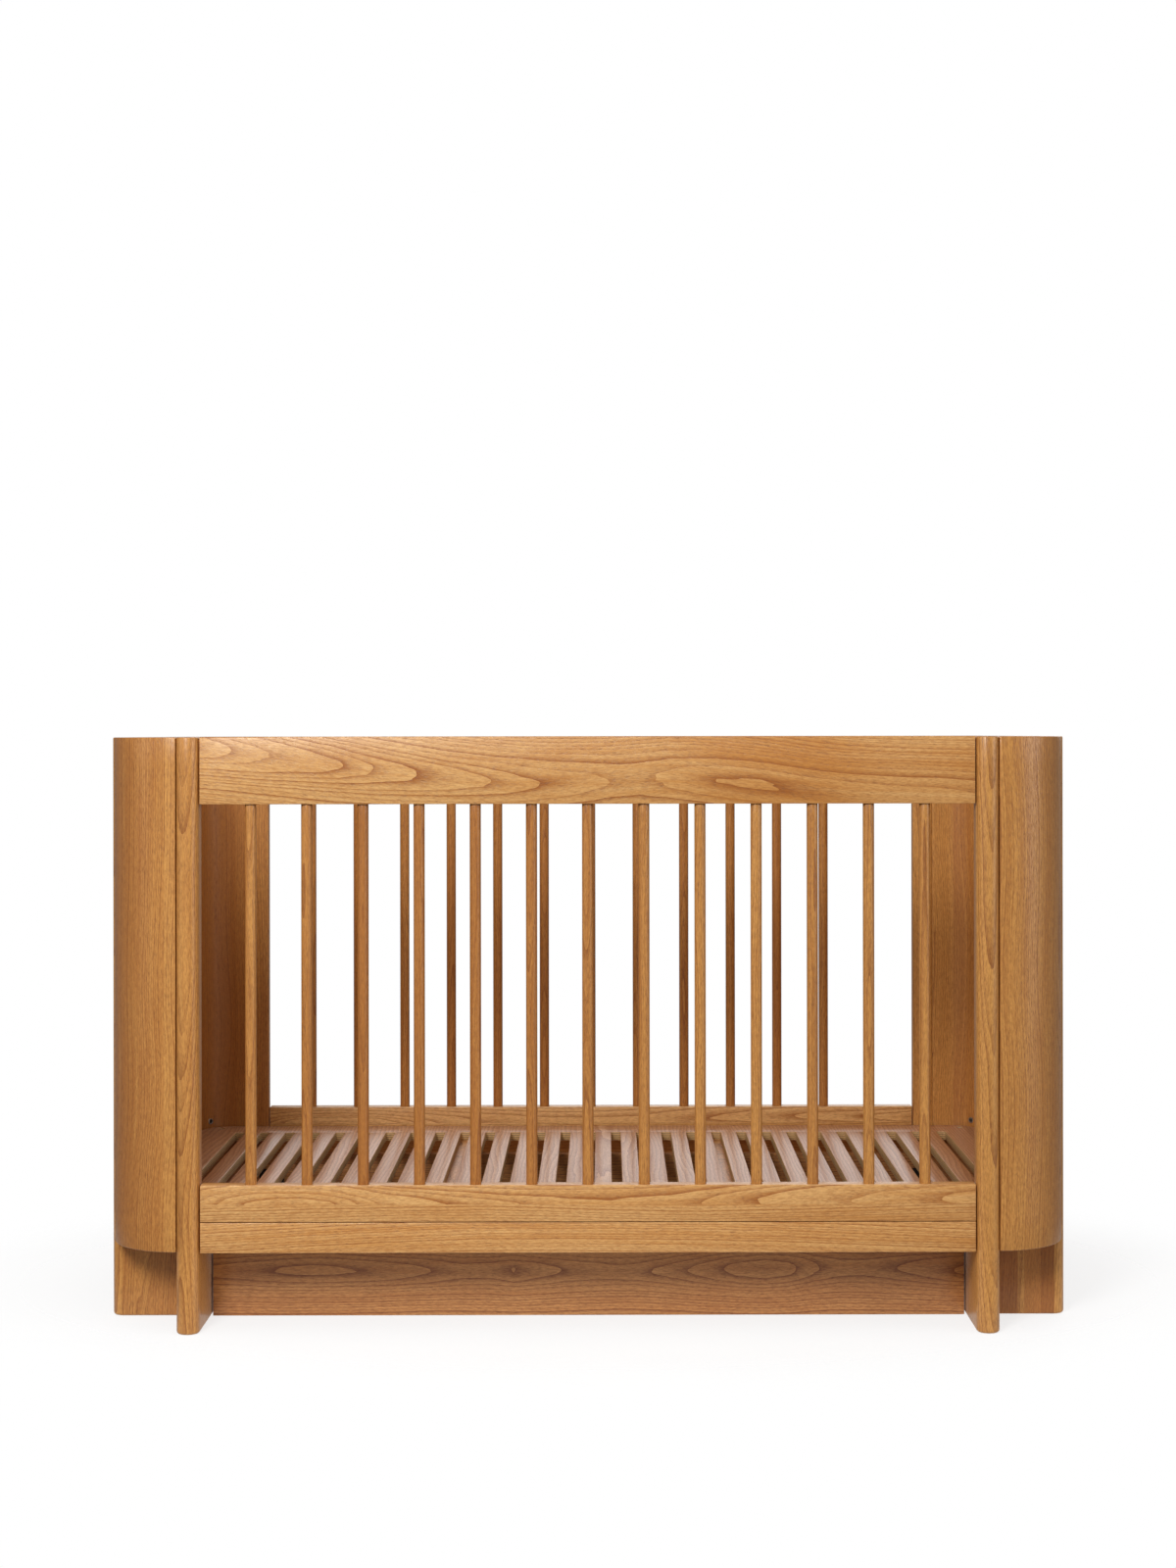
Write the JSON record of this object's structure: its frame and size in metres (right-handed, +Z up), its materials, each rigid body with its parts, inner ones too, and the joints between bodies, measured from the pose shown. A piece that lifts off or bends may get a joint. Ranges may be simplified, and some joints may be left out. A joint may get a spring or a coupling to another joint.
{
  "type": "cot bed",
  "caption": "Wooden baby cot with round-barred long sides, quarter-round corner shells, slotted mattress base and recessed plinth; the front barred side lifts off.",
  "frame": {"origin": "on the floor under the middle of the cot", "axes": "+X along the cot to the right seen from the front, +Y from front to rear, +Z up"},
  "size_m": [1.484, 0.776, 0.9],
  "materials": {
    "oak": "oiled",
    "oak_rail": "oiled",
    "oak_plinth": "oiled",
    "ply": "lacquered veneer",
    "steel": "black zinc"
  },
  "bodies": {
    "frame": {"front_apron": "oak", "front_plinth": "oak_plinth", "rear_top_rail": "oak_rail", "rear_bottom_rail": "oak_rail", "rear_apron": "oak", "rear_bar_01": "oak", "rear_bar_02": "oak", "rear_bar_03": "oak", "rear_bar_04": "oak", "rear_bar_05": "oak", "rear_bar_06": "oak", "rear_bar_07": "oak", "rear_bar_08": "oak", "rear_bar_09": "oak", "rear_bar_10": "oak", "rear_bar_11": "oak", "rear_bar_12": "oak", "rear_bar_13": "oak", "rear_plinth": "oak_plinth", "front_left_post": "oak", "front_left_end_post": "oak", "front_left_shell": "oak", "front_left_bracket": "steel", "rear_left_post": "oak", "rear_left_end_post": "oak", "rear_left_shell": "oak", "rear_left_bracket": "steel", "front_right_post": "oak", "front_right_end_post": "oak", "front_right_shell": "oak", "front_right_bracket": "steel", "rear_right_post": "oak", "rear_right_end_post": "oak", "rear_right_shell": "oak", "rear_right_bracket": "steel", "left_end_panel": "oak", "left_end_plinth": "oak_plinth", "left_end_batten": "oak_plinth", "left_mid_batten": "oak_plinth", "right_end_panel": "oak", "right_end_plinth": "oak_plinth", "right_end_batten": "oak_plinth", "right_mid_batten": "oak_plinth", "mattress_base": "ply"},
    "front_side": {"front_top_rail": "oak_rail", "front_bottom_rail": "oak_rail", "front_bar_01": "oak", "front_bar_02": "oak", "front_bar_03": "oak", "front_bar_04": "oak", "front_bar_05": "oak", "front_bar_06": "oak", "front_bar_07": "oak", "front_bar_08": "oak", "front_bar_09": "oak", "front_bar_10": "oak", "front_bar_11": "oak", "front_bar_12": "oak", "front_bar_13": "oak"}
  },
  "joints": [
    {"name": "front_side_lift", "type": "slide", "parent": "frame", "child": "front_side", "axis": [0, 0, 1], "range_m": [0, 0.75]}
  ]
}
